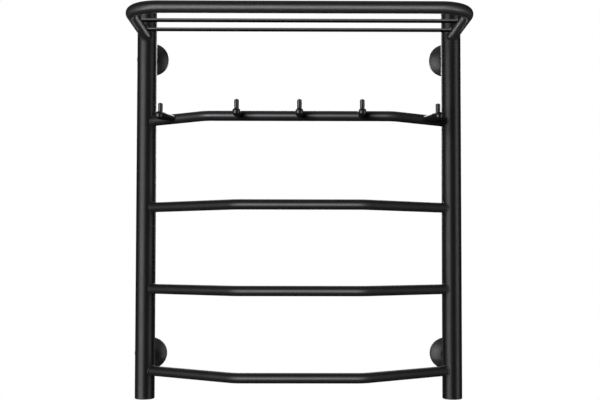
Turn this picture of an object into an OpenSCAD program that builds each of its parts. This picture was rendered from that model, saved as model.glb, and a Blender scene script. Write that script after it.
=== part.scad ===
// Wall-hung towel warmer rack: two posts, four bent bars, a shelf on top and five hooks.
// Frame: millimetres, +Z up, the wall is the plane Y = 0 and the room lies at -Y.
// The origin is the centre of the four wall fixings on the wall plane.

/* [Posts] */
// Distance between the axes of the two posts
centre_distance = 500; // [450:10:600]
// Height of a post, from its lower collar to its end cap
post_height = 635; // [615:1:700]
// Outer diameter of a post
post_d = 32; // [30:1:36]
// Wall of a post's tube
post_wall = 2; // [1.5:0.5:2.5]
// Distance from the wall to a post's axis
wall_gap = 65; // [60:1:75]

/* [Bars] */
// Outer diameter of a bar
bar_d = 16; // [14:1:18]
// Wall of a bar's tube
bar_wall = 1.5; // [1:0.5:2]
// Height of the lowest bar above the posts' lower ends
low_bar_up = 45.5; // [30:0.5:60]
// Pitch of the three plain bars
bar_pitch = 132.25; // [125:0.25:140]
// Gap between the top plain bar and the hook bar
hook_bar_gap = 141; // [130:0.5:145]
// Sideways run of a bar's slanted end, for the rise below
bar_run = 52.7; // [45:0.1:70]
// How far a bar's slanted end comes towards the room over that run
bar_rise = 33.6; // [20:0.1:38]
// Half width of a plain bar's straight middle, to the corner of its bend
plain_half = 98; // [80:1:120]
// Half width of the hook bar's straight middle, to the corner of its bend
hook_bar_half = 147; // [140:1:155]
// Centre-line radius of a bar's bends
bar_bend_r = 32; // [20:1:36]

/* [Shelf] */
// Gap between the hook bar and the shelf
shelf_gap = 139.5; // [120:0.5:145]
// Reach of the shelf's front tube, from the posts' axes
shelf_reach = 185; // [160:5:240]
// Outer diameter of the shelf's tube
shelf_tube_d = 18; // [16:1:20]
// Wall of the shelf's tube
shelf_wall = 1.5; // [1:0.5:2]
// Centre-line radius of the shelf's front corners
shelf_bend_r = 45; // [30:1:70]
// Diameter of the shelf's cross rods
rod_d = 6; // [5:1:8]
// Distance between the two rods
rod_spacing = 56; // [40:1:65]
// How far the rods' middle line lies from the posts' axes
rod_out = 82; // [70:1:100]

/* [Hooks] */
// Distance of the inner hooks from the middle
inner_hook_x = 96; // [60:1:125]
// Distance of the outer hooks from the middle, on the bar's slanted ends
outer_hook_x = 196; // [180:1:205]
// Distance from the bar's axis to a hook's peg
peg_out = 40; // [30:1:50]
// Height of a peg's tip above the arm's axis
peg_up = 20; // [14:1:30]
// Diameter of a peg
peg_d = 7.5; // [5:0.5:8]
// Diameter of a hook's head
hook_head_d = 13; // [10:0.5:14]
// Diameter of a hook's neck, at the bar
hook_neck_d = 8; // [5.6:0.1:9]

/* [Wall brackets] */
// Height of the lower fixings above the posts' lower ends
fixing_up = 67; // [60:1:80]
// Vertical distance between the fixings
fixing_pitch = 500; // [480:5:510]
// Hole for a wall screw
screw_hole_d = 5.5; // [4.5:0.5:6.5]
// Diameter of a bracket's stem
stem_d = 20; // [18:1:22]
// Outer diameter of a wall cover
cover_d = 54; // [50:1:60]

/* [Water connections] */
// Bore of a lower collar's thread, half-inch pipe
thread_bore_d = 18.6; // [18:0.1:19]

/* [Hidden] */
$fn = 72;

// Finishes
BLACK = [0.15, 0.15, 0.155];
STEEL = [0.62, 0.63, 0.64];
BRASS = [0.72, 0.6, 0.35];
FIBRE = [0.45, 0.16, 0.1];

// Places
left = -1;
right = 1;
post_x = centre_distance / 2;
post_low = -fixing_up - fixing_pitch / 2;
post_top = post_low + post_height;
low_bar_z = post_low + low_bar_up;
top_plain_z = low_bar_z + 2 * bar_pitch;
hook_bar_z = top_plain_z + hook_bar_gap;
shelf_z = hook_bar_z + shelf_gap;
fixing_z = fixing_pitch / 2;
shelf_y = -wall_gap - shelf_reach;

// Posts and their ends
post_r = post_d / 2;
post_bore_r = post_r - post_wall;
collar_h = 3;
edge_r = 1.5;
cap_spigot = 6;
collar_spigot = 15;

// Bars and shelf
bar_angle = atan2(bar_rise, bar_run);
bar_r = bar_d / 2;
bar_bore_r = bar_r - bar_wall;
shelf_r = shelf_tube_d / 2;
shelf_bore_r = shelf_r - shelf_wall;

// Hooks: distances along the arm, from the bar's axis
hook_x = [-outer_hook_x, -inner_hook_x, 0, inner_hook_x, outer_hook_x];
hook_head_r = hook_head_d / 2;
hook_neck_r = hook_neck_d / 2;
neck_end = bar_r + 2;
head_start = peg_out - 7;
head_end = peg_out + 3;
stud_r = 2;
stud_end = 23;
stud_play = 0.06;
peg_seat = 2.5;
peg_dome_r = 5;
peg_play = 0.05;
grub_at = 20;
grub_r = 1.6;
grub_start = stud_r + stud_play;
grub_end = 4.6;
grub_play = 0.05;
hex_r = 0.9;
hex_depth = 1;

// Brackets: distances from the wall
base_d = 38;
base_t = 3;
boss_r = 6.4;
boss_end = 24;
head_pocket_r = 4.8;
head_seat = 6;
stem_r = stem_d / 2;
stem_start = 5;
socket_r = 6.5;
socket_end = 30;
cover_r = cover_d / 2;
cover_t = 1.5;
cover_rim = 6;
cover_dome_r = 40;
cover_bore_r = stem_r + 0.3;
lock_at = 18;
lock_r = 2;
lock_end = stem_r - 0.3;

// Bleed valve: distances from the post's axis towards the wall
bleed_z = post_top - 28;
bleed_hole_r = 4.8;
bleed_boss_r = 8;
bleed_boss_end = post_r + 4;
washer_t = 1;
washer_r = 7.5;
body_start = bleed_boss_end + washer_t;
body_end = body_start + 8;
body_r = 7.5;
spigot_r = 4.7;
spigot_start = post_bore_r + 0.5;
air_r = 1.2;
pocket_start = body_start + 2;
pocket_r = 2.6;
bleed_screw_r = 2.5;
bleed_head_start = body_end + 0.3;
bleed_head_end = bleed_head_start + 3;
bleed_head_r = 4;
slot_w = 1;
slot_depth = 1.2;

through = 1;

// How far in front of the wall a bar's axis lies at x, for the given half width of its middle
function bar_y(x, half) = -wall_gap - (post_x - max(abs(x), half)) * tan(bar_angle);

// A length rounded so that pieces which meet are worked out from the same number
function round_off(length) = round(length * 100) / 100;

// The angle at which a hook at x points away from straight ahead
function hook_turn(x) = abs(x) > hook_bar_half ? sign(x) * bar_angle : 0;

// Lays what is drawn along +Z towards the room
module to_room() rotate([90, 0, 0]) children();

// Lays what is drawn along +Z towards the wall
module to_wall() rotate([-90, 0, 0]) children();

// Lays what is drawn along +Z to the right
module to_right() rotate([0, 90, 0]) children();

// The space of both posts, to cope a tube's ends to them
module both_posts(r) {
  for (side = [left, right])
    translate([side * post_x, -wall_gap, post_low - through])
      cylinder(r = r, h = post_height + 2 * through);
}

// A square with its far lower corner rounded, to turn a rounded end plate
module end_plate_outline(r, h) {
  translate([0, edge_r]) square([r, h - edge_r]);
  square([r - edge_r, h]);
  translate([r - edge_r, edge_r]) circle(r = edge_r);
}

// One bend of a bar, filled to radius r: the part of a ring between its two radial end planes
module bar_bend(r) {
  block = bar_bend_r + bar_d;
  intersection() {
    rotate_extrude() translate([bar_bend_r, 0]) circle(r = r);
    translate([0, -block, -block / 2]) cube(block);
    rotate([0, 0, bar_angle]) translate([-block, -block, -block / 2]) cube(block);
  }
}

// Centre line of a bar, filled to radius r: straight middle, two bends, two slanted ends
module bar_core(half, z, r) {
  straight = round_off(half - bar_bend_r * tan(bar_angle / 2));
  slant = (post_x - half) / cos(bar_angle);
  translate([0, round_off(bar_y(0, half)), z]) {
    to_right() cylinder(r = r, h = 2 * straight, center = true);
    for (side = [0, 1]) mirror([side, 0, 0]) translate([straight, bar_bend_r, 0]) {
      bar_bend(r);
      rotate([0, 0, bar_angle]) translate([0, -bar_bend_r, 0]) to_right() cylinder(r = r, h = slant);
    }
  }
}

// A bent bar with its bore, its ends coped to the posts
module bar(half, z) {
  color(BLACK) difference() {
    bar_core(half, z, bar_r);
    bar_core(half, z, bar_bore_r);
    both_posts(post_r);
  }
}

// Bore from a post's axis out through its wall, in line with a bar's slanted end
module bar_port(side, z) {
  translate([0, 0, z])
    rotate([0, 0, side == left ? -bar_angle : 180 + bar_angle])
      to_right() cylinder(r = bar_bore_r, h = post_r + through);
}

// A post's tube, with ports to the bars and the shelf
module post(side) {
  color(BLACK) translate([side * post_x, -wall_gap, 0]) difference() {
    translate([0, 0, post_low + collar_h]) cylinder(r = post_r, h = post_height - 2 * collar_h);
    translate([0, 0, post_low]) cylinder(r = post_bore_r, h = post_height);
    for (step = [0 : 2]) bar_port(side, low_bar_z + step * bar_pitch);
    bar_port(side, hook_bar_z);
    translate([0, 0, shelf_z]) to_room() cylinder(r = shelf_bore_r, h = post_r + through);
    if (side == left)
      translate([0, 0, bleed_z]) to_wall() cylinder(r = bleed_hole_r, h = post_r + through);
  }
}

// Plug with a rounded plate that closes a post's top
module end_cap(side) {
  color(BLACK) translate([side * post_x, -wall_gap, post_top]) mirror([0, 0, 1]) rotate_extrude() {
    end_plate_outline(post_r, collar_h);
    square([post_bore_r, collar_h + cap_spigot]);
  }
}

// Threaded collar in a post's lower end, bored for a half-inch pipe thread
module water_collar(side) {
  color(BLACK) translate([side * post_x, -wall_gap, post_low]) rotate_extrude() difference() {
    union() {
      end_plate_outline(post_r, collar_h);
      square([post_bore_r, collar_h + collar_spigot]);
    }
    translate([0, -through]) square([thread_bore_d / 2, collar_h + collar_spigot + 2 * through]);
  }
}

// Centre line of the shelf's tube, filled to radius r: two sides, two corners, one front
module shelf_core(r) {
  translate([0, 0, shelf_z]) {
    translate([0, shelf_y, 0])
      to_right() cylinder(r = r, h = 2 * (post_x - shelf_bend_r), center = true);
    for (side = [0, 1]) mirror([side, 0, 0]) {
      translate([post_x - shelf_bend_r, shelf_y + shelf_bend_r, 0])
        rotate([0, 0, -90]) rotate_extrude(angle = 90) translate([shelf_bend_r, 0]) circle(r = r);
      translate([post_x, -wall_gap, 0])
        to_room() cylinder(r = r, h = shelf_reach - shelf_bend_r);
    }
  }
}

// The shelf's bent tube, its ends coped to the posts' fronts
module shelf_frame() {
  color(BLACK) difference() {
    shelf_core(shelf_r);
    shelf_core(shelf_bore_r);
    both_posts(post_r);
  }
}

// A thin rod across the shelf, its ends coped to the tube's sides
module shelf_rod(place) {
  out = rod_out + place * rod_spacing / 2;
  color(BLACK) translate([0, -wall_gap - out, shelf_z]) difference() {
    to_right() cylinder(r = rod_d / 2, h = centre_distance, center = true);
    for (side = [left, right])
      translate([side * post_x, 0, 0]) to_room() cylinder(r = shelf_r, h = 2 * rod_d, center = true);
  }
}

// Puts what is drawn along -Y from the bar's axis at the place of one hook
module at_hook(x) {
  translate([x, bar_y(x, hook_bar_half), hook_bar_z]) rotate([0, 0, hook_turn(x)]) children();
}

// The bar where a hook meets it, as the hook sees it
module bar_under_hook() to_right() cylinder(r = bar_r, h = 4 * bar_r, center = true);

// Turns what is drawn along +Z to a hook's grub screw, below the arm on the side nearer the middle
module at_grub(x) {
  translate([0, -grub_at, 0]) rotate([0, x > 0 ? -135 : 135, 0]) children();
}

// One hook: a turned arm that widens to a head with a domed nose, bored for its stud, peg and screw
module hook(x) {
  color(BLACK) at_hook(x) difference() {
    to_room() rotate_extrude() {
      polygon([
        [0, 0], [hook_neck_r, 0], [hook_neck_r, neck_end],
        [hook_head_r, head_start], [hook_head_r, head_end], [0, head_end]
      ]);
      translate([0, head_end]) intersection() {
        circle(r = hook_head_r);
        square(hook_head_r);
      }
    }
    bar_under_hook();
    to_room() cylinder(r = stud_r + stud_play, h = stud_end + through);
    translate([0, -peg_out, peg_seat]) cylinder(r = peg_d / 2 + peg_play, h = hook_head_r);
    at_grub(x) cylinder(r = grub_r + grub_play, h = hook_head_r);
  }
}

// Upright peg of a hook, with a domed tip
module hook_peg(x) {
  color(BLACK) at_hook(x) translate([0, -peg_out, 0]) rotate_extrude() intersection() {
    translate([0, peg_seat]) square([peg_d / 2, peg_up - peg_seat]);
    translate([0, peg_up - peg_dome_r]) union() {
      circle(r = peg_dome_r);
      translate([0, -peg_up]) square([peg_dome_r, peg_up]);
    }
  }
}

// Studs welded to the hook bar
module hook_studs() {
  color(STEEL) for (x = hook_x) at_hook(x) difference() {
    to_room() cylinder(r = stud_r, h = stud_end);
    bar_under_hook();
  }
}

// Grub screws that lock the hooks to their studs, each with a hexagon socket
module hook_grub_screws() {
  color(STEEL) for (x = hook_x) at_hook(x) at_grub(x) difference() {
    translate([0, 0, grub_start]) cylinder(r = grub_r, h = grub_end - grub_start);
    translate([0, 0, grub_end - hex_depth]) cylinder(r = hex_r, h = hex_depth + through, $fn = 6);
  }
}

// Puts what is drawn along +Z from the wall at one fixing
module at_fixing(side, level) {
  translate([side * post_x, 0, level * fixing_z]) to_room() children();
}

// Round plate and boss that are screwed to the wall
module wall_base(side, level) {
  color(STEEL) at_fixing(side, level) difference() {
    union() {
      cylinder(d = base_d, h = base_t);
      cylinder(r = boss_r, h = boss_end);
    }
    translate([0, 0, -through]) cylinder(d = screw_hole_d, h = boss_end);
    translate([0, 0, head_seat]) cylinder(r = head_pocket_r, h = boss_end);
  }
}

// Stem welded to a post's back, with a socket for the wall base's boss
module bracket_stem(side, level) {
  color(BLACK) at_fixing(side, level) difference() {
    translate([0, 0, stem_start]) cylinder(r = stem_r, h = wall_gap - stem_start);
    translate([0, 0, stem_start - through]) cylinder(r = socket_r, h = socket_end - stem_start + through);
    translate([0, 0, wall_gap]) to_room() cylinder(r = post_r, h = 2 * stem_d, center = true);
    translate([0, 0, lock_at]) to_wall() cylinder(r = lock_r + grub_play, h = stem_r + through);
  }
}

// Grub screws that lock the stems on the wall bases' bosses
module bracket_grub_screws() {
  color(STEEL)
    for (side = [left, right]) for (level = [-1, 1])
      at_fixing(side, level) translate([0, 0, lock_at]) to_wall() difference() {
        translate([0, 0, boss_r]) cylinder(r = lock_r, h = lock_end - boss_r);
        translate([0, 0, lock_end - hex_depth]) cylinder(r = hex_r, h = hex_depth + through, $fn = 6);
      }
}

// Half section of a wall cover, filled out to the given inset from its outer skin
module cover_outline(inset) {
  intersection() {
    square([cover_r - inset, cover_dome_r]);
    translate([0, cover_rim - sqrt(cover_dome_r ^ 2 - cover_r ^ 2)]) circle(r = cover_dome_r - inset);
  }
}

// Domed cover that slides on a stem and hides the wall base
module wall_cover(side, level) {
  color(BLACK) at_fixing(side, level) rotate_extrude() difference() {
    cover_outline(0);
    cover_outline(cover_t);
    square([cover_bore_r, cover_dome_r]);
  }
}

// Puts what is drawn along +Z from the left post's axis towards the wall, at the bleed valve's height
module at_bleed() {
  translate([left * post_x, -wall_gap, bleed_z]) to_wall() children();
}

// Boss for the bleed valve, welded to the post's back
module bleed_boss() {
  color(BLACK) at_bleed() difference() {
    cylinder(r = bleed_boss_r, h = bleed_boss_end);
    cylinder(r = bleed_hole_r, h = bleed_boss_end + through);
    to_room() cylinder(r = post_r, h = post_d, center = true);
  }
}

// Sealing washer between the boss and the valve's body
module bleed_washer() {
  color(FIBRE) at_bleed() translate([0, 0, bleed_boss_end]) difference() {
    cylinder(r = washer_r, h = washer_t);
    translate([0, 0, -through]) cylinder(r = bleed_hole_r, h = washer_t + 2 * through);
  }
}

// Hexagonal body of the bleed valve, with an air hole and a pocket for its screw
module bleed_body() {
  color(BRASS) at_bleed() difference() {
    union() {
      translate([0, 0, spigot_start]) cylinder(r = spigot_r, h = body_start - spigot_start);
      translate([0, 0, body_start]) cylinder(r = body_r, h = body_end - body_start, $fn = 6);
    }
    cylinder(r = air_r, h = body_end);
    translate([0, 0, pocket_start]) cylinder(r = pocket_r, h = body_end);
  }
}

// Slotted screw that opens the bleed valve
module bleed_screw() {
  color(BRASS) at_bleed() difference() {
    union() {
      translate([0, 0, pocket_start + 0.3])
        cylinder(r = bleed_screw_r, h = bleed_head_start - pocket_start);
      translate([0, 0, bleed_head_start]) cylinder(r = bleed_head_r, h = bleed_head_end - bleed_head_start);
    }
    translate([0, 0, bleed_head_end])
      cube([2 * bleed_head_r + through, slot_w, 2 * slot_depth], center = true);
  }
}

post(left);  // left_post
post(right);  // right_post
end_cap(left);  // left_end_cap
end_cap(right);  // right_end_cap
water_collar(left);  // left_water_collar
water_collar(right);  // right_water_collar
bar(plain_half, low_bar_z);  // bar_1
bar(plain_half, low_bar_z + bar_pitch);  // bar_2
bar(plain_half, top_plain_z);  // bar_3
bar(hook_bar_half, hook_bar_z);  // hook_bar
shelf_frame();
shelf_rod(1);  // shelf_rod_front
shelf_rod(-1);  // shelf_rod_rear
hook(hook_x[0]);  // hook_1
hook(hook_x[1]);  // hook_2
hook(hook_x[2]);  // hook_3
hook(hook_x[3]);  // hook_4
hook(hook_x[4]);  // hook_5
hook_peg(hook_x[0]);  // hook_peg_1
hook_peg(hook_x[1]);  // hook_peg_2
hook_peg(hook_x[2]);  // hook_peg_3
hook_peg(hook_x[3]);  // hook_peg_4
hook_peg(hook_x[4]);  // hook_peg_5
hook_studs();
hook_grub_screws();
wall_base(left, -1);  // wall_base_lower_left
wall_base(right, -1);  // wall_base_lower_right
wall_base(left, 1);  // wall_base_upper_left
wall_base(right, 1);  // wall_base_upper_right
bracket_stem(left, -1);  // bracket_stem_lower_left
bracket_stem(right, -1);  // bracket_stem_lower_right
bracket_stem(left, 1);  // bracket_stem_upper_left
bracket_stem(right, 1);  // bracket_stem_upper_right
wall_cover(left, -1);  // wall_cover_lower_left
wall_cover(right, -1);  // wall_cover_lower_right
wall_cover(left, 1);  // wall_cover_upper_left
wall_cover(right, 1);  // wall_cover_upper_right
bracket_grub_screws();
bleed_boss();
bleed_washer();
bleed_body();
bleed_screw();
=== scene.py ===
import math

import bpy
from bpy.props import FloatProperty, FloatVectorProperty, IntProperty, PointerProperty
from mathutils import Matrix, Vector


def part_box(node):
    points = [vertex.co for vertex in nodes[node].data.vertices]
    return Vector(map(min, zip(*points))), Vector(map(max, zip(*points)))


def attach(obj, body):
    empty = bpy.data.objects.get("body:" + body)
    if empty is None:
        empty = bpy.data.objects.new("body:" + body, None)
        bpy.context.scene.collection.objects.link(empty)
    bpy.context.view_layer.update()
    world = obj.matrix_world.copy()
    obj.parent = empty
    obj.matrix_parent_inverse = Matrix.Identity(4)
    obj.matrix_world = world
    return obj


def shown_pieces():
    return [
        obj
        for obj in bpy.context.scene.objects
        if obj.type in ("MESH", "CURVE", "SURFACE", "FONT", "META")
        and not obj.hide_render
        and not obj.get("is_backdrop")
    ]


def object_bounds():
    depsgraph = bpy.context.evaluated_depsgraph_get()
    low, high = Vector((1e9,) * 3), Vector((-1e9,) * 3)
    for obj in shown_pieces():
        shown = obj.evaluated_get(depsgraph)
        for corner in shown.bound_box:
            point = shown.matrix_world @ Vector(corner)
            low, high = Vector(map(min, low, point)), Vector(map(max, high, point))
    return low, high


bl_info = {
    "name": "Towel warmer rack",
    "version": (1, 0, 0),
    "blender": (4, 5, 0),
    "location": "View3D > Sidebar > Towel rack",
    "description": "Paints the rack, welds its tubes and sets up its studio",
    "category": "Object",
}

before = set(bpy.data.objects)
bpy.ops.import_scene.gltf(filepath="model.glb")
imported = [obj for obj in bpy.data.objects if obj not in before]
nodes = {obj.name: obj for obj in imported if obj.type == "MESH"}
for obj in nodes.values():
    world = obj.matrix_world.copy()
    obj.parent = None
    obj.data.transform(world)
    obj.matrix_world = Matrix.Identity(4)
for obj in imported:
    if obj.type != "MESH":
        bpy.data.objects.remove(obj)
cad_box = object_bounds()

LEFT, RIGHT = -1, 1
SIDES = {"left": LEFT, "right": RIGHT}
BARS = ("bar_1", "bar_2", "bar_3", "hook_bar")
RODS = ("shelf_rod_front", "shelf_rod_rear")
FIXINGS = ("lower_left", "lower_right", "upper_left", "upper_right")
HOOKS = (1, 2, 3, 4, 5)

# The bars leave the posts at this angle towards the room: rise over sideways run, in mm
BAR_ANGLE = math.atan2(33.6, 52.7)

# Roughness of the coats that have no slider of their own
HOOK_ROUGHNESS = 0.3
COVER_ROUGHNESS = 0.4
WELD_ROUGHNESS = 0.42

# The pipe thread in a water collar, in metres
THREAD_BORE_R = 0.0093
THREAD_LENGTH = 0.0145
THREAD_START = 0.0015
THREAD_RIDGE_R = 0.0005

# The floor is a flat disc
FLOOR_RADIUS = 2.5
FLOOR_CORNERS = 96

# Each soft light's angle round the rack and its height angle in degrees, then its distance,
# width and height in metres; 0 degrees is in front and 180 behind
SOFTBOXES = {
    "left_softbox": (-46, -4, 2.0, 1.8, 2.6),
    "right_softbox": (65, -4, 2.0, 0.9, 2.6),
    "front_softbox": (-8, -8, 2.0, 2.4, 1.6),
    "hook_softbox": (-22, 6, 2.0, 0.9, 0.7),
    "shelf_left_softbox": (-55, -22, 2.0, 1.0, 0.7),
    "shelf_right_softbox": (55, -22, 2.0, 1.0, 0.7),
    "shelf_edge_left_softbox": (192, 1, 2.4, 0.5, 0.4),
    "shelf_edge_right_softbox": (168, 1, 2.4, 0.5, 0.4),
    "rod_softbox": (-8, 50, 1.8, 1.8, 0.9),
    "top_softbox": (180, 75, 2.0, 2.4, 1.6),
    "rear_softbox": (180, 25, 2.4, 2.4, 1.6),
    "dim_rear_softbox": (180, 25, 2.4, 2.4, 1.6),
    "floor_softbox": (0, 89, 2.6, 7.0, 7.0),
}

# Where the camera stands, in metres, how it is turned, in degrees, and its frame
CAMERA_PLACE = (-0.0075, -1.5439, -0.0869)
CAMERA_YAW = -0.36
CAMERA_PITCH = 2.072
CAMERA_ROLL = 0.084
CAMERA_SHIFT = 0.04
SENSOR_WIDTH = 36


def middle(name):
    """Centre of a frame node's box."""
    low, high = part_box(name)
    return (low + high) / 2


def half_width(name, axis):
    """Half of a frame node's size along one axis."""
    low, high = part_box(name)
    return (high[axis] - low[axis]) / 2


POST = {side: middle(side + "_post") for side in SIDES}
POST_R = half_width("left_post", 0)
BAR_R = half_width("bar_1", 2)
SHELF_R = half_width("shelf_frame", 2)
ROD_R = half_width("shelf_rod_front", 2)
STEM_R = half_width("bracket_stem_lower_left", 2)
BOSS_R = half_width("bleed_boss", 2)


def linear(hex_colour):
    """Linear red, green and blue of an sRGB hex colour."""
    parts = [int(hex_colour[i : i + 2], 16) / 255 for i in (1, 3, 5)]
    return tuple(c / 12.92 if c <= 0.04045 else ((c + 0.055) / 1.055) ** 2.4 for c in parts)


def opaque(colour):
    """A colour with full alpha, as the shader sockets want it."""
    return (*colour[:3], 1)


def shade(colour, factor):
    """A colour made lighter or darker by a factor."""
    return tuple(c * factor for c in colour[:3])


def add_node(tree, kind, settings=None, feeds=None):
    """Adds a node, sets its settings, and sets or links its inputs."""
    made = tree.nodes.new(kind)
    for name, value in (settings or {}).items():
        setattr(made, name, value)
    for key, value in (feeds or {}).items():
        if isinstance(value, bpy.types.NodeSocket):
            tree.links.new(value, made.inputs[key])
        else:
            made.inputs[key].default_value = value
    return made


def new_material(name):
    """An empty node material."""
    material = bpy.data.materials.new(name)
    material.use_nodes = True
    material.node_tree.nodes.clear()
    return material


def give(name, material):
    """Puts a material in every slot of a frame node's object."""
    slots = nodes[name].data.materials
    if not slots:
        slots.append(material)
    for i in range(len(slots)):
        slots[i] = material


def powder_coat(name, colour, roughness, peel, along=None, drawn=0.0, specular=0.5):
    """Satin black polyester powder coat, baked on steel.

    The eye gets a soft, slightly mottled black with a faint orange peel. On a drawn tube the
    sheen is spread along its length, so the tube's direction goes to the shader's tangent.
    """
    material = new_material(name)
    tree = material.node_tree
    place = add_node(tree, "ShaderNodeTexCoord").outputs["Object"]
    # Coat thickness drifts over about 45 mm and tints the black a little
    drift = add_node(tree, "ShaderNodeTexNoise", {}, {"Vector": place, "Scale": 1 / 0.045, "Detail": 2})
    tint = add_node(
        tree,
        "ShaderNodeMix",
        {"data_type": "RGBA"},
        {0: drift.outputs["Fac"], 6: opaque(shade(colour, 0.8)), 7: opaque(shade(colour, 1.25))},
    )
    # Handling leaves patches about 18 mm across that are a shade glossier
    patches = add_node(
        tree, "ShaderNodeTexNoise", {}, {"Vector": place, "Scale": 1 / 0.018, "Detail": 3}
    )
    gloss = add_node(
        tree,
        "ShaderNodeMapRange",
        {},
        {"Value": patches.outputs["Fac"], "To Min": roughness - 0.05, "To Max": roughness + 0.05},
    )
    # Orange peel is 1 to 2 mm in the real coat, and drawn at twice that so it shows
    orange_peel = add_node(
        tree, "ShaderNodeTexNoise", {}, {"Vector": place, "Scale": 1 / peel, "Detail": 1}
    )
    bump = add_node(
        tree,
        "ShaderNodeBump",
        {},
        {"Strength": 0.35, "Distance": 0.00006, "Height": orange_peel.outputs["Fac"]},
    )
    feeds = {
        "Base Color": tint.outputs[2],
        "Roughness": gloss.outputs["Result"],
        "Normal": bump.outputs["Normal"],
        "IOR": 1.5,
        "Specular IOR Level": specular,
        "Anisotropic": drawn,
    }
    if along == "post":
        feeds["Tangent"] = add_node(tree, "ShaderNodeCombineXYZ", {}, {"Z": 1}).outputs[0]
    if along == "level_tube":
        facing = add_node(tree, "ShaderNodeNewGeometry").outputs["Normal"]
        lengthwise = add_node(
            tree, "ShaderNodeVectorMath", {"operation": "CROSS_PRODUCT"}, {0: (0, 0, 1), 1: facing}
        )
        feeds["Tangent"] = lengthwise.outputs[0]
    surface = add_node(tree, "ShaderNodeBsdfPrincipled", {}, feeds)
    add_node(tree, "ShaderNodeOutputMaterial", {}, {"Surface": surface.outputs[0]})
    return material


def plated_metal(name, colour, roughness, grain, stretch=(1, 1, 1)):
    """Plated or oxidised metal with turning marks and a little unevenness in its gloss."""
    material = new_material(name)
    tree = material.node_tree
    place = add_node(tree, "ShaderNodeTexCoord").outputs["Object"]
    stretched = add_node(tree, "ShaderNodeMapping", {}, {"Vector": place, "Scale": stretch})
    marks = add_node(
        tree,
        "ShaderNodeTexNoise",
        {},
        {"Vector": stretched.outputs[0], "Scale": 1 / grain, "Detail": 4},
    )
    tint = add_node(
        tree,
        "ShaderNodeMix",
        {"data_type": "RGBA"},
        {0: marks.outputs["Fac"], 6: opaque(shade(colour, 0.82)), 7: opaque(shade(colour, 1.1))},
    )
    gloss = add_node(
        tree,
        "ShaderNodeMapRange",
        {},
        {"Value": marks.outputs["Fac"], "To Min": roughness - 0.07, "To Max": roughness + 0.1},
    )
    bump = add_node(
        tree,
        "ShaderNodeBump",
        {},
        {"Strength": 0.3, "Distance": 0.00003, "Height": marks.outputs["Fac"]},
    )
    surface = add_node(
        tree,
        "ShaderNodeBsdfPrincipled",
        {},
        {
            "Base Color": tint.outputs[2],
            "Roughness": gloss.outputs["Result"],
            "Normal": bump.outputs["Normal"],
            "Metallic": 1.0,
        },
    )
    add_node(tree, "ShaderNodeOutputMaterial", {}, {"Surface": surface.outputs[0]})
    return material


def pressed_fibre(name, colour):
    """Vulcanised fibre: dull red sheet with short, felted fibres about 1 mm long."""
    material = new_material(name)
    tree = material.node_tree
    place = add_node(tree, "ShaderNodeTexCoord").outputs["Object"]
    fibres = add_node(
        tree, "ShaderNodeTexVoronoi", {"feature": "F1"}, {"Vector": place, "Scale": 1 / 0.001}
    )
    tint = add_node(
        tree,
        "ShaderNodeMix",
        {"data_type": "RGBA"},
        {0: fibres.outputs["Distance"], 6: opaque(shade(colour, 0.7)), 7: opaque(shade(colour, 1.3))},
    )
    bump = add_node(
        tree,
        "ShaderNodeBump",
        {},
        {"Strength": 0.5, "Distance": 0.00005, "Height": fibres.outputs["Distance"]},
    )
    surface = add_node(
        tree,
        "ShaderNodeBsdfPrincipled",
        {},
        {
            "Base Color": tint.outputs[2],
            "Roughness": 0.8,
            "Normal": bump.outputs["Normal"],
            "IOR": 1.5,
        },
    )
    add_node(tree, "ShaderNodeOutputMaterial", {}, {"Surface": surface.outputs[0]})
    return material


def new_tree(name, sizes):
    """A geometry tree with a geometry input, named number inputs and a geometry output."""
    tree = bpy.data.node_groups.new(name, "GeometryNodeTree")
    tree.interface.new_socket(name="Geometry", in_out="INPUT", socket_type="NodeSocketGeometry")
    for size in sizes:
        kind = "NodeSocketInt" if size == "Seed" else "NodeSocketFloat"
        tree.interface.new_socket(name=size, in_out="INPUT", socket_type=kind)
    tree.interface.new_socket(name="Geometry", in_out="OUTPUT", socket_type="NodeSocketGeometry")
    return tree


def number(tree, operation, *values):
    """The result of one sum on numbers or number sockets."""
    made = add_node(tree, "ShaderNodeMath", {"operation": operation}, dict(enumerate(values)))
    return made.outputs[0]


def finish_tree(tree, shape, seeds, material):
    """Ripples a shape's surface, smooths it, gives it its material and ends the tree."""
    solid = add_node(tree, "GeometryNodeRealizeInstances", {}, {"Geometry": shape})
    ripple = add_node(
        tree,
        "ShaderNodeTexNoise",
        {"noise_dimensions": "4D"},
        {
            "Vector": add_node(tree, "GeometryNodeInputPosition").outputs[0],
            "W": seeds["Seed"],
            "Scale": number(tree, "DIVIDE", 1.0, seeds["Ripple length"]),
            "Detail": 1,
        },
    )
    swing = number(tree, "SUBTRACT", ripple.outputs["Fac"], 0.5)
    lift = number(tree, "MULTIPLY", swing, seeds["Ripple height"])
    offset = add_node(
        tree,
        "ShaderNodeVectorMath",
        {"operation": "SCALE"},
        {0: add_node(tree, "GeometryNodeInputNormal").outputs[0], "Scale": lift},
    )
    rippled = add_node(
        tree,
        "GeometryNodeSetPosition",
        {},
        {"Geometry": solid.outputs[0], "Offset": offset.outputs[0]},
    )
    smooth = add_node(
        tree, "GeometryNodeSetShadeSmooth", {}, {"Geometry": rippled.outputs[0], "Shade Smooth": True}
    )
    plain = add_node(tree, "GeometryNodeRealizeInstances", {}, {"Geometry": smooth.outputs[0]})
    done = add_node(
        tree, "GeometryNodeSetMaterial", {}, {"Geometry": plain.outputs[0], "Material": material}
    )
    add_node(tree, "NodeGroupOutput", {}, {"Geometry": done.outputs[0]})


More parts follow.
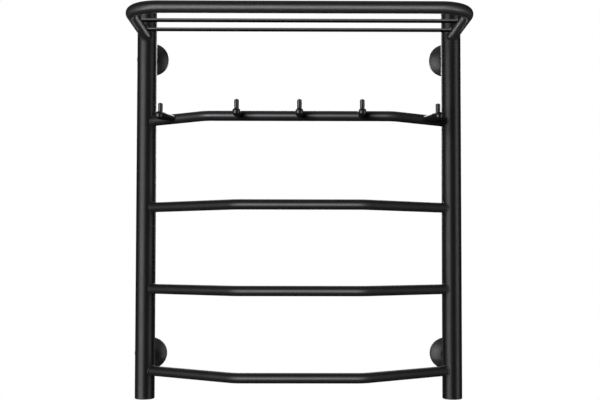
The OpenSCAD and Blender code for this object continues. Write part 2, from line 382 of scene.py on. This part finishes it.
def instances_at(tree, source, shape):
    """The shape, once for each point of the source, turned by the point's own turn."""
    turn = add_node(
        tree, "GeometryNodeInputNamedAttribute", {"data_type": "FLOAT_VECTOR"}, {"Name": "turn"}
    )
    rotation = add_node(tree, "FunctionNodeEulerToRotation", {}, {0: turn.outputs["Attribute"]})
    points = add_node(tree, "GeometryNodeMeshToPoints", {}, {"Mesh": source})
    placed = add_node(
        tree,
        "GeometryNodeInstanceOnPoints",
        {},
        {"Points": points.outputs[0], "Instance": shape, "Rotation": rotation.outputs[0]},
    )
    return placed.outputs[0]


def weld_bead_tree(material):
    """A bead along the line where a tube runs into a round post, once for each joint."""
    names = ("Tube radius", "Post radius", "Bead radius", "Ripple height", "Ripple length", "Seed")
    tree = new_tree("weld_bead", names)
    given = add_node(tree, "NodeGroupInput").outputs
    ring = add_node(tree, "GeometryNodeCurvePrimitiveCircle", {}, {"Resolution": 64, "Radius": 1.0})
    spot = add_node(tree, "GeometryNodeInputPosition")
    parts = add_node(tree, "ShaderNodeSeparateXYZ", {}, {"Vector": spot.outputs[0]})
    across = number(tree, "MULTIPLY", parts.outputs["X"], given["Tube radius"])
    up = number(tree, "MULTIPLY", parts.outputs["Y"], given["Tube radius"])
    post_square = number(tree, "MULTIPLY", given["Post radius"], given["Post radius"])
    across_square = number(tree, "MULTIPLY", across, across)
    out = number(tree, "SQRT", number(tree, "SUBTRACT", post_square, across_square))
    saddle = add_node(tree, "ShaderNodeCombineXYZ", {}, {"X": out, "Y": across, "Z": up})
    path = add_node(
        tree,
        "GeometryNodeSetPosition",
        {},
        {"Geometry": ring.outputs[0], "Position": saddle.outputs[0]},
    )
    profile = add_node(
        tree,
        "GeometryNodeCurvePrimitiveCircle",
        {},
        {"Resolution": 10, "Radius": given["Bead radius"]},
    )
    bead = add_node(
        tree,
        "GeometryNodeCurveToMesh",
        {},
        {"Curve": path.outputs[0], "Profile Curve": profile.outputs[0]},
    )
    finish_tree(tree, instances_at(tree, given["Geometry"], bead.outputs[0]), given, material)
    return tree


def thread_tree(material):
    """A rounded ridge wound up the inside of a bore, once for each collar."""
    names = ("Bore radius", "Depth", "Pitch", "Ridge radius", "Ripple height", "Ripple length", "Seed")
    tree = new_tree("pipe_thread", names)
    given = add_node(tree, "NodeGroupInput").outputs
    turns = number(tree, "DIVIDE", given["Depth"], given["Pitch"])
    spiral = add_node(
        tree,
        "GeometryNodeCurveSpiral",
        {},
        {
            "Resolution": 40,
            "Rotations": turns,
            "Start Radius": given["Bore radius"],
            "End Radius": given["Bore radius"],
            "Height": given["Depth"],
        },
    )
    profile = add_node(
        tree,
        "GeometryNodeCurvePrimitiveCircle",
        {},
        {"Resolution": 8, "Radius": given["Ridge radius"]},
    )
    ridge = add_node(
        tree,
        "GeometryNodeCurveToMesh",
        {},
        {"Curve": spiral.outputs[0], "Profile Curve": profile.outputs[0], "Fill Caps": True},
    )
    finish_tree(tree, instances_at(tree, given["Geometry"], ridge.outputs[0]), given, material)
    return tree


def grow(name, tree, places, sizes):
    """Runs a tree on a set of (place, turn) points and keeps the result as one plain piece."""
    seeds = bpy.data.meshes.new(name + "_places")
    seeds.from_pydata([tuple(place) for place, turn in places], [], [])
    turns = seeds.attributes.new("turn", "FLOAT_VECTOR", "POINT")
    turns.data.foreach_set("vector", [value for place, turn in places for value in turn])
    source = bpy.data.objects.new(name + "_source", seeds)
    bpy.context.scene.collection.objects.link(source)
    modifier = source.modifiers.new("grow", "NODES")
    modifier.node_group = tree
    for item in tree.interface.items_tree:
        if item.in_out == "INPUT" and item.name in sizes:
            modifier[item.identifier] = sizes[item.name]
    bpy.context.view_layer.update()
    evaluated = source.evaluated_get(bpy.context.evaluated_depsgraph_get())
    mesh = bpy.data.meshes.new_from_object(evaluated)
    if not mesh.polygons:
        raise RuntimeError(name + " came out empty")
    source.modifiers.remove(modifier)
    bpy.data.objects.remove(source)
    bpy.data.meshes.remove(seeds)
    mesh.name = name
    piece = bpy.data.objects.new(name, mesh)
    bpy.context.scene.collection.objects.link(piece)
    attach(piece, "rack")
    return piece


class RackPaint(bpy.types.PropertyGroup):
    """Colours and gloss of the coatings."""

    tube_colour: FloatVectorProperty(
        name="Tube colour",
        description="Colour of the powder coat on the tubes",
        subtype="COLOR",
        size=3,
        min=0,
        max=1,
        default=linear("#151517"),
    )
    hook_colour: FloatVectorProperty(
        name="Hook colour",
        description="Colour of the coat on the hooks and their pegs",
        subtype="COLOR",
        size=3,
        min=0,
        max=1,
        default=linear("#1a1a1c"),
    )
    # Painted light: the covers' coat is the tubes' same satin black, drawn lighter so the covers look
    # more brightly lit
    cover_colour_with_painted_light: FloatVectorProperty(
        name="Cover colour",
        description="Colour of the coat on the wall covers",
        subtype="COLOR",
        size=3,
        min=0,
        max=1,
        default=linear("#303032"),
    )
    tube_roughness: FloatProperty(
        name="Tube roughness",
        description="Roughness of the powder coat on the tubes",
        subtype="FACTOR",
        min=0.1,
        max=1,
        default=0.48,
    )
    drawn: FloatProperty(
        name="Drawn sheen",
        description="How far the sheen is spread along a drawn tube",
        subtype="FACTOR",
        min=0,
        max=1,
        default=0.5,
    )
    peel: FloatProperty(
        name="Orange peel",
        description="Size of the orange peel in the coat",
        unit="LENGTH",
        min=0.001,
        max=0.01,
        default=0.003,
    )


class RackWelds(bpy.types.PropertyGroup):
    """Sizes of the weld beads and of the pipe threads."""

    bead: FloatProperty(
        name="Bead radius",
        description="Radius of the weld bead where a tube meets a post",
        unit="LENGTH",
        min=0.0005,
        max=0.003,
        default=0.0013,
    )
    ripple: FloatProperty(
        name="Ripple height",
        description="Height of the ripples in a bead",
        unit="LENGTH",
        min=0,
        max=0.001,
        default=0.0003,
    )
    ripple_length: FloatProperty(
        name="Ripple length",
        description="Spacing of the ripples in a bead",
        unit="LENGTH",
        min=0.001,
        max=0.01,
        default=0.0025,
    )
    seed: IntProperty(name="Seed", description="Which set of ripples the beads get", default=7)
    thread_pitch: FloatProperty(
        name="Thread pitch",
        description="Pitch of the half-inch pipe thread, 14 turns to the inch",
        unit="LENGTH",
        min=0.001,
        max=0.003,
        default=0.001814,
    )


class RackStudio(bpy.types.PropertyGroup):
    """Floor, lights and camera."""

    floor_drop: FloatProperty(
        name="Floor drop",
        description="How far below the posts the floor lies",
        unit="LENGTH",
        min=0.1,
        max=1.5,
        default=0.45,
    )
    key_power: FloatProperty(
        name="Left light",
        description="Power of the large soft light on the left",
        unit="POWER",
        min=0,
        default=58,
    )
    side_power: FloatProperty(
        name="Right light",
        description="Power of the narrow soft light on the right",
        unit="POWER",
        min=0,
        default=18,
    )
    front_power: FloatProperty(
        name="Front light",
        description="Power of the large soft light in front, which lights the plain bars and the shelf",
        unit="POWER",
        min=0,
        default=94,
    )
    top_power: FloatProperty(
        name="Top light",
        description="Power of the soft light overhead",
        unit="POWER",
        min=0,
        default=4,
    )
    rear_power: FloatProperty(
        name="Rear light",
        description="Power of the soft light behind the rack",
        unit="POWER",
        min=0,
        default=60,
    )
    hook_power: FloatProperty(
        name="Hook light",
        description="Power of the small light that throws the hooks' shadows on their bar",
        unit="POWER",
        min=0,
        default=75,
    )
    shelf_power: FloatProperty(
        name="Shelf lights",
        description="Power of each of the two low lights on the shelf's sides and corners",
        unit="POWER",
        min=0,
        default=30,
    )
    edge_power: FloatProperty(
        name="Shelf edge lights",
        description="Power of each of the two lights behind, which draw a line along the shelf's sides",
        unit="POWER",
        min=0,
        default=5.5,
    )
    rod_power: FloatProperty(
        name="Rod light",
        description="Power of the soft light high in front, which lights the shelf's rods",
        unit="POWER",
        min=0,
        default=50,
    )
    floor_power: FloatProperty(
        name="Floor light",
        description="Power of the soft light that falls on the floor",
        unit="POWER",
        min=0,
        default=800,
    )
    sky: FloatProperty(
        name="Room light",
        description="Brightness of the room around the rack",
        min=0,
        max=2,
        default=0.015,
    )
    lens: FloatProperty(
        name="Lens",
        description="Focal length of the camera",
        unit="CAMERA",
        min=20,
        max=200,
        default=54.25,
    )


class RACK_OT_paint_tubes(bpy.types.Operator):
    """Powder coats the posts, the bars, the shelf, their ends and the stems"""

    bl_idname = "rack.paint_tubes"
    bl_label = "Paint the tubes"

    def execute(self, context):
        paint = context.scene.rack_paint
        post_coat = powder_coat(
            "satin_black_powder_coat_posts",
            paint.tube_colour,
            paint.tube_roughness,
            paint.peel,
            "post",
            paint.drawn,
        )
        tube_coat = powder_coat(
            "satin_black_powder_coat_tubes",
            paint.tube_colour,
            paint.tube_roughness,
            paint.peel,
            "level_tube",
            paint.drawn,
        )
        end_coat = powder_coat(
            "satin_black_powder_coat_ends", paint.tube_colour, paint.tube_roughness, paint.peel
        )
        for side in SIDES:
            give(side + "_post", post_coat)
            give(side + "_end_cap", end_coat)
            give(side + "_water_collar", end_coat)
        for name in (*BARS, *RODS, "shelf_frame"):
            give(name, tube_coat)
        for name in FIXINGS:
            give("bracket_stem_" + name, end_coat)
        give("bleed_boss", end_coat)
        return {"FINISHED"}


class RACK_OT_paint_hooks(bpy.types.Operator):
    """Paints the turned hooks and their pegs"""

    bl_idname = "rack.paint_hooks"
    bl_label = "Paint the hooks"

    def execute(self, context):
        paint = context.scene.rack_paint
        coat = powder_coat(
            "satin_black_hook_coat", paint.hook_colour, HOOK_ROUGHNESS, 0.4 * paint.peel, specular=0.6
        )
        for number_ in HOOKS:
            give(f"hook_{number_}", coat)
            give(f"hook_peg_{number_}", coat)
        return {"FINISHED"}


class RACK_OT_paint_covers(bpy.types.Operator):
    """Paints the spun wall covers"""

    bl_idname = "rack.paint_covers"
    bl_label = "Paint the wall covers"

    def execute(self, context):
        paint = context.scene.rack_paint
        # The lighter cover colour is painted light: the same black coat drawn lighter, so the covers
        # look more lit than the lamps make them
        coat = powder_coat("satin_black_cover_coat_with_painted_light", paint.cover_colour_with_painted_light, COVER_ROUGHNESS, paint.peel)
        for name in FIXINGS:
            give("wall_cover_" + name, coat)
        return {"FINISHED"}


class RACK_OT_plate_fixings(bpy.types.Operator):
    """Plates the wall bases, studs and screws, and finishes the bleed valve"""

    bl_idname = "rack.plate_fixings"
    bl_label = "Plate the fixings"

    def execute(self, context):
        # Bright zinc: pale blue-grey, with turning marks about 1 mm apart
        zinc = plated_metal("bright_zinc_plated_steel", linear("#a9acaf"), 0.32, 0.001, (1, 0.2, 1))
        # Black oxide: near-black, slightly oily sheen, fine grain
        oxide = plated_metal("black_oxide_steel", linear("#3a3a3d"), 0.4, 0.0008)
        # Satin nickel on brass: warm pale metal
        nickel = plated_metal("satin_nickel_plated_brass", linear("#d2cbbd"), 0.28, 0.0012)
        for name in FIXINGS:
            give("wall_base_" + name, zinc)
        give("hook_studs", zinc)
        give("hook_grub_screws", oxide)
        give("bracket_grub_screws", oxide)
        give("bleed_body", nickel)
        give("bleed_screw", nickel)
        give("bleed_washer", pressed_fibre("red_vulcanised_fibre", linear("#8f4238")))
        return {"FINISHED"}


class RACK_OT_weld_joints(bpy.types.Operator):
    """Lays a bead round every place where a tube, rod, stem or boss is welded on"""

    bl_idname = "rack.weld_joints"
    bl_label = "Weld the joints"

    def execute(self, context):
        paint, welds = context.scene.rack_paint, context.scene.rack_welds
        coat = powder_coat(
            "satin_black_powder_coat_welds", paint.tube_colour, WELD_ROUGHNESS, paint.peel
        )
        tree = weld_bead_tree(coat)
        bar_ends, shelf_ends, stem_ends, rod_ends = [], [], [], []
        for side, sign in SIDES.items():
            axis = POST[side]
            turn = -BAR_ANGLE if sign == LEFT else math.pi + BAR_ANGLE
            for name in BARS:
                bar_ends.append((Vector((axis.x, axis.y, middle(name).z)), (0, 0, turn)))
            shelf_ends.append((Vector((axis.x, axis.y, middle("shelf_frame").z)), (0, 0, -math.pi / 2)))
            for name in RODS:
                spot = middle(name)
                facing = 0 if sign == LEFT else math.pi
                rod_ends.append((Vector((axis.x, spot.y, spot.z)), (math.pi / 2, 0, facing)))
            for level in ("lower", "upper"):
                height = middle(f"bracket_stem_{level}_{side}").z
                stem_ends.append((Vector((axis.x, axis.y, height)), (0, 0, math.pi / 2)))
        boss = [(Vector((POST["left"].x, POST["left"].y, middle("bleed_boss").z)), (0, 0, math.pi / 2))]
        rows = (
            ("weld_beads_of_bars", bar_ends, BAR_R, POST_R, 1.0),
            ("weld_beads_of_shelf", shelf_ends, SHELF_R, POST_R, 1.0),
            ("weld_beads_of_rods", rod_ends, ROD_R, SHELF_R, 0.6),
            ("weld_beads_of_stems", stem_ends, STEM_R, POST_R, 1.0),
            ("weld_bead_of_bleed_boss", boss, BOSS_R, POST_R, 0.8),
        )
        for name, places, tube, post, scale in rows:
            sizes = {
                "Tube radius": tube,
                "Post radius": post,
                "Bead radius": welds.bead * scale,
                "Ripple height": welds.ripple * scale,
                "Ripple length": welds.ripple_length,
                "Seed": welds.seed,
            }
            grow(name, tree, places, sizes)
        return {"FINISHED"}


class RACK_OT_cut_threads(bpy.types.Operator):
    """Winds the half-inch pipe thread inside both water collars"""

    bl_idname = "rack.cut_threads"
    bl_label = "Cut the water threads"

    def execute(self, context):
        welds = context.scene.rack_welds
        bare = plated_metal("tapped_steel_thread", linear("#8d8f92"), 0.38, 0.001)
        tree = thread_tree(bare)
        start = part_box("left_water_collar")[0].z + THREAD_START
        places = [(Vector((POST[side].x, POST[side].y, start)), (0, 0, 0)) for side in SIDES]
        sizes = {
            "Bore radius": THREAD_BORE_R,
            "Depth": THREAD_LENGTH,
            "Pitch": welds.thread_pitch,
            "Ridge radius": THREAD_RIDGE_R,
            "Ripple height": 0.00004,
            "Ripple length": 0.002,
            "Seed": welds.seed,
        }
        grow("water_collar_threads", tree, places, sizes)
        return {"FINISHED"}


def area_light(name, power, aim, lit=()):
    """A soft rectangular light that looks at aim, placed by its row in SOFTBOXES.

    If lit names any objects, the light falls on those alone.
    """
    azimuth, elevation, distance, width, height = SOFTBOXES[name]
    data = bpy.data.lights.new(name, "AREA")
    data.shape = "RECTANGLE"
    data.size = width
    data.size_y = height
    data.energy = power
    lamp = bpy.data.objects.new(name, data)
    bpy.context.scene.collection.objects.link(lamp)
    lamp.visible_camera = False
    a, e = math.radians(azimuth), math.radians(elevation)
    back = Vector((math.sin(a) * math.cos(e), -math.cos(a) * math.cos(e), math.sin(e)))
    lamp.matrix_world = Matrix.Translation(aim + back * distance) @ (-back).to_track_quat(
        "-Z", "Y"
    ).to_matrix().to_4x4()
    if lit:
        group = bpy.data.collections.new(name + "_falls_on")
        for item in lit:
            group.objects.link(bpy.data.objects[item])
        lamp.light_linking.receiver_collection = group
    return lamp


class RACK_OT_set_studio(bpy.types.Operator):
    """Lays the floor, hangs the lights and places the camera"""

    bl_idname = "rack.set_studio"
    bl_label = "Set up the studio"

    def execute(self, context):
        studio = context.scene.rack_studio
        low, high = cad_box
        aim = (low + high) / 2
        self.lay_floor(low.z - studio.floor_drop, aim)
        self.light_room(context.scene, studio)
        # Which pieces each light falls on: a glossy tube needs its own light to show its line
        level = [*(name for name in BARS if name != "hook_bar"), "shelf_frame"]
        upright = [o.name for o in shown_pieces() if o.name not in (*BARS, *RODS, "shelf_frame")]
        rods = [*RODS, "weld_beads_of_rods"]
        dimmer = [*BARS, *RODS, *("wall_base_" + name for name in FIXINGS)]
        brighter = [name for name in upright if name not in dimmer]
        area_light("left_softbox", studio.key_power, aim, upright)
        area_light("right_softbox", studio.side_power, aim, upright)
        area_light("front_softbox", studio.front_power, aim, level)
        area_light("hook_softbox", studio.hook_power, aim, ["hook_bar"])
        for side in SIDES:
            area_light(f"shelf_{side}_softbox", studio.shelf_power, aim, ["shelf_frame"])
        for side in SIDES:
            area_light(f"shelf_edge_{side}_softbox", studio.edge_power, aim, ["shelf_frame"])
        area_light("rod_softbox", studio.rod_power, aim, rods)
        area_light("top_softbox", studio.top_power, aim)
        area_light("rear_softbox", studio.rear_power, aim, brighter)
        area_light("dim_rear_softbox", studio.rear_power / 3, aim, dimmer)
        area_light("floor_softbox", studio.floor_power, aim, ["floor"])
        self.place_camera(context.scene, studio)
        context.scene.view_settings.view_transform = "Standard"
        return {"FINISHED"}

    def lay_floor(self, height, aim):
        """A pale round floor under the rack, kept out of its reflections."""
        mesh = bpy.data.meshes.new("floor")
        rim = []
        for i in range(FLOOR_CORNERS):
            turn = 2 * math.pi * i / FLOOR_CORNERS
            out = Vector((math.cos(turn), math.sin(turn))) * FLOOR_RADIUS
            rim.append((aim.x + out.x, aim.y + out.y, height))
        mesh.from_pydata(rim, [], [tuple(range(FLOOR_CORNERS))])
        floor = bpy.data.objects.new("floor", mesh)
        bpy.context.scene.collection.objects.link(floor)
        floor.visible_glossy = False
        floor.visible_diffuse = False
        floor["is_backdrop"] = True
        material = new_material("pale_matt_floor")
        tree = material.node_tree
        surface = add_node(
            tree,
            "ShaderNodeBsdfPrincipled",
            {},
            {"Base Color": opaque(linear("#e6e6e4")), "Roughness": 0.9},
        )
        # The floor can be looked through from below, so the rack is seen from there too
        under = add_node(tree, "ShaderNodeNewGeometry").outputs["Backfacing"]
        clear = add_node(tree, "ShaderNodeBsdfTransparent").outputs[0]
        both = add_node(tree, "ShaderNodeMixShader", {}, {0: under, 1: surface.outputs[0], 2: clear})
        add_node(tree, "ShaderNodeOutputMaterial", {}, {"Surface": both.outputs[0]})
        mesh.materials.append(material)

    def light_room(self, scene, studio):
        """A white backdrop for the eye, and a dim room for the surfaces."""
        world = bpy.data.worlds.new("studio_room")
        scene.world = world
        world.use_nodes = True
        tree = world.node_tree
        tree.nodes.clear()
        white = add_node(tree, "ShaderNodeBackground", {}, {"Color": (1, 1, 1, 1), "Strength": 1.0})
        dim = add_node(
            tree, "ShaderNodeBackground", {}, {"Color": (1, 1, 1, 1), "Strength": studio.sky}
        )
        seen = add_node(tree, "ShaderNodeLightPath").outputs["Is Camera Ray"]
        both = add_node(
            tree, "ShaderNodeMixShader", {}, {0: seen, 1: dim.outputs[0], 2: white.outputs[0]}
        )
        add_node(tree, "ShaderNodeOutputWorld", {}, {"Surface": both.outputs[0]})

    def place_camera(self, scene, studio):
        """The camera in front of the rack, a little below its middle and tilted up."""
        data = bpy.data.cameras.new("camera")
        data.lens = studio.lens
        data.sensor_width = SENSOR_WIDTH
        data.shift_y = CAMERA_SHIFT
        camera = bpy.data.objects.new("camera", data)
        scene.collection.objects.link(camera)
        camera.matrix_world = (
            Matrix.Translation(CAMERA_PLACE)
            @ Matrix.Rotation(math.radians(CAMERA_YAW), 4, "Z")
            @ Matrix.Rotation(math.radians(90 + CAMERA_PITCH), 4, "X")
            @ Matrix.Rotation(math.radians(CAMERA_ROLL), 4, "Z")
        )
        scene.camera = camera


STEPS = (
    RACK_OT_paint_tubes,
    RACK_OT_paint_hooks,
    RACK_OT_paint_covers,
    RACK_OT_plate_fixings,
    RACK_OT_weld_joints,
    RACK_OT_cut_threads,
    RACK_OT_set_studio,
)


class RACK_PT_towel_rack(bpy.types.Panel):
    """Lists the steps that finish the rack"""

    bl_idname = "RACK_PT_towel_rack"
    bl_label = "Towel rack"
    bl_space_type = "VIEW_3D"
    bl_region_type = "UI"
    bl_category = "Towel rack"

    def draw(self, context):
        for group in (context.scene.rack_paint, context.scene.rack_welds, context.scene.rack_studio):
            column = self.layout.column()
            for name in group.__annotations__:
                column.prop(group, name)
        for step in STEPS:
            self.layout.operator(step.bl_idname)


CLASSES = (RackPaint, RackWelds, RackStudio, *STEPS, RACK_PT_towel_rack)


def register():
    for item in CLASSES:
        bpy.utils.register_class(item)
    bpy.types.Scene.rack_paint = PointerProperty(type=RackPaint)
    bpy.types.Scene.rack_welds = PointerProperty(type=RackWelds)
    bpy.types.Scene.rack_studio = PointerProperty(type=RackStudio)


def unregister():
    for name in ("rack_paint", "rack_welds", "rack_studio"):
        delattr(bpy.types.Scene, name)
    for item in reversed(CLASSES):
        bpy.utils.unregister_class(item)


def main():
    """Runs every step in order."""
    register()
    bpy.ops.rack.paint_tubes()
    bpy.ops.rack.paint_hooks()
    bpy.ops.rack.paint_covers()
    bpy.ops.rack.plate_fixings()
    bpy.ops.rack.weld_joints()
    bpy.ops.rack.cut_threads()
    bpy.ops.rack.set_studio()


if __name__ == "__main__":
    main()
